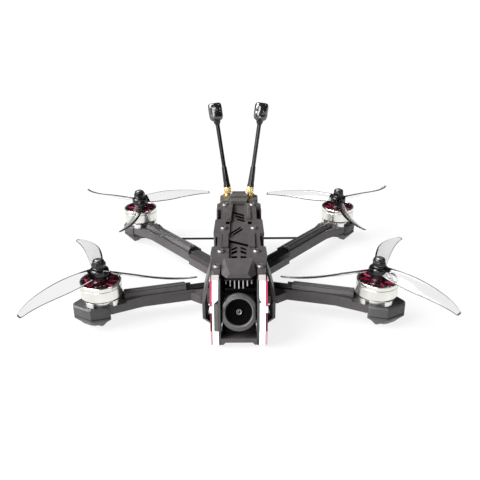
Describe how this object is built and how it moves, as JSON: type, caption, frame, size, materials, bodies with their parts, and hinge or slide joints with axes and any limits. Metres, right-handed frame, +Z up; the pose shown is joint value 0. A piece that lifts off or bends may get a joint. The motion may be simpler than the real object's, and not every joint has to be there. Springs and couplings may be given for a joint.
{
  "type": "racing quadcopter",
  "caption": "Freestyle racing quadcopter with moulded arms on rubber feet, three-blade propellers, a tilting nose camera between light bars, and two tail antennas.",
  "frame": {"origin": "on the ground under the belly pad, midway between the four motor axes", "axes": "+X to the drone's left, +Y to its tail, +Z up"},
  "size_m": [0.2801, 0.239, 0.1248],
  "materials": {
    "moulded_frame": "satin",
    "soft_plastic": "matte",
    "carbon_plate": "satin",
    "foam": "matte",
    "motor_silver": "satin",
    "windings": "gloss",
    "steel": "satin",
    "nut_black": "gloss",
    "smoked_clear": "clear",
    "wire_rubber": "satin",
    "antenna_black": "satin",
    "connector_brass": "polished",
    "socket_plastic": "satin",
    "camera_metal": "satin",
    "lens_glass": "coated",
    "light_diffuser": "frosted",
    "light_trim": "gloss",
    "circuit_board": "satin"
  },
  "bodies": {
    "airframe": {"front_left_arm": "moulded_frame", "front_right_arm": "moulded_frame", "rear_left_arm": "moulded_frame", "rear_right_arm": "moulded_frame", "arm_covers": "moulded_frame", "top_plate": "moulded_frame", "side_panel_left": "moulded_frame", "side_panel_right": "moulded_frame", "side_guard_left": "moulded_frame", "side_guard_right": "moulded_frame", "camera_cheek_left": "moulded_frame", "camera_cheek_right": "moulded_frame", "nose_crossbar": "moulded_frame", "front_visor": "moulded_frame", "front_left_bumper": "soft_plastic", "front_right_bumper": "soft_plastic", "rear_left_bumper": "soft_plastic", "rear_right_bumper": "soft_plastic", "tail_mount": "soft_plastic", "bottom_plate": "carbon_plate", "mid_plate": "carbon_plate", "landing_pad": "foam", "front_left_motor_base": "motor_silver", "front_right_motor_base": "motor_silver", "rear_left_motor_base": "motor_silver", "rear_right_motor_base": "motor_silver", "air_unit": "motor_silver", "motor_stators": "windings", "motor_bearings": "steel", "motor_screws": "steel", "frame_screws": "steel", "stack_screws": "steel", "standoffs": "steel", "motor_wires": "wire_rubber", "video_antennas": "antenna_black", "antenna_heads": "antenna_black", "receiver_antenna": "antenna_black", "sma_connectors": "connector_brass", "power_socket": "socket_plastic", "light_bars": "light_diffuser", "light_trims": "light_trim", "flight_controller": "circuit_board", "esc_board": "circuit_board", "gps_module": "circuit_board"},
    "camera": {"camera_housing": "camera_metal", "lens_ring": "camera_metal", "lens_glass": "lens_glass", "camera_screws": "steel"},
    "front_left_rotor": {"front_left_motor_bell": "motor_silver", "front_left_propeller": "smoked_clear", "front_left_prop_nut": "nut_black"},
    "front_right_rotor": {"front_right_motor_bell": "motor_silver", "front_right_propeller": "smoked_clear", "front_right_prop_nut": "nut_black"},
    "rear_left_rotor": {"rear_left_motor_bell": "motor_silver", "rear_left_propeller": "smoked_clear", "rear_left_prop_nut": "nut_black"},
    "rear_right_rotor": {"rear_right_motor_bell": "motor_silver", "rear_right_propeller": "smoked_clear", "rear_right_prop_nut": "nut_black"}
  },
  "joints": [
    {"name": "front_left_rotor_spin", "type": "hinge", "parent": "airframe", "child": "front_left_rotor", "pos_m": [0.09315, -0.07, 0.0352], "axis": [0, 0, 1], "continuous": true},
    {"name": "front_right_rotor_spin", "type": "hinge", "parent": "airframe", "child": "front_right_rotor", "pos_m": [-0.09315, -0.07, 0.0352], "axis": [0, 0, 1], "continuous": true},
    {"name": "rear_left_rotor_spin", "type": "hinge", "parent": "airframe", "child": "rear_left_rotor", "pos_m": [0.0869, 0.07, 0.0352], "axis": [0, 0, 1], "continuous": true},
    {"name": "rear_right_rotor_spin", "type": "hinge", "parent": "airframe", "child": "rear_right_rotor", "pos_m": [-0.0869, 0.07, 0.0352], "axis": [0, 0, 1], "continuous": true},
    {"name": "camera_tilt", "type": "hinge", "parent": "airframe", "child": "camera", "pos_m": [0, -0.094, 0.0215], "axis": [1, 0, 0], "range_deg": [-20, 20]}
  ]
}
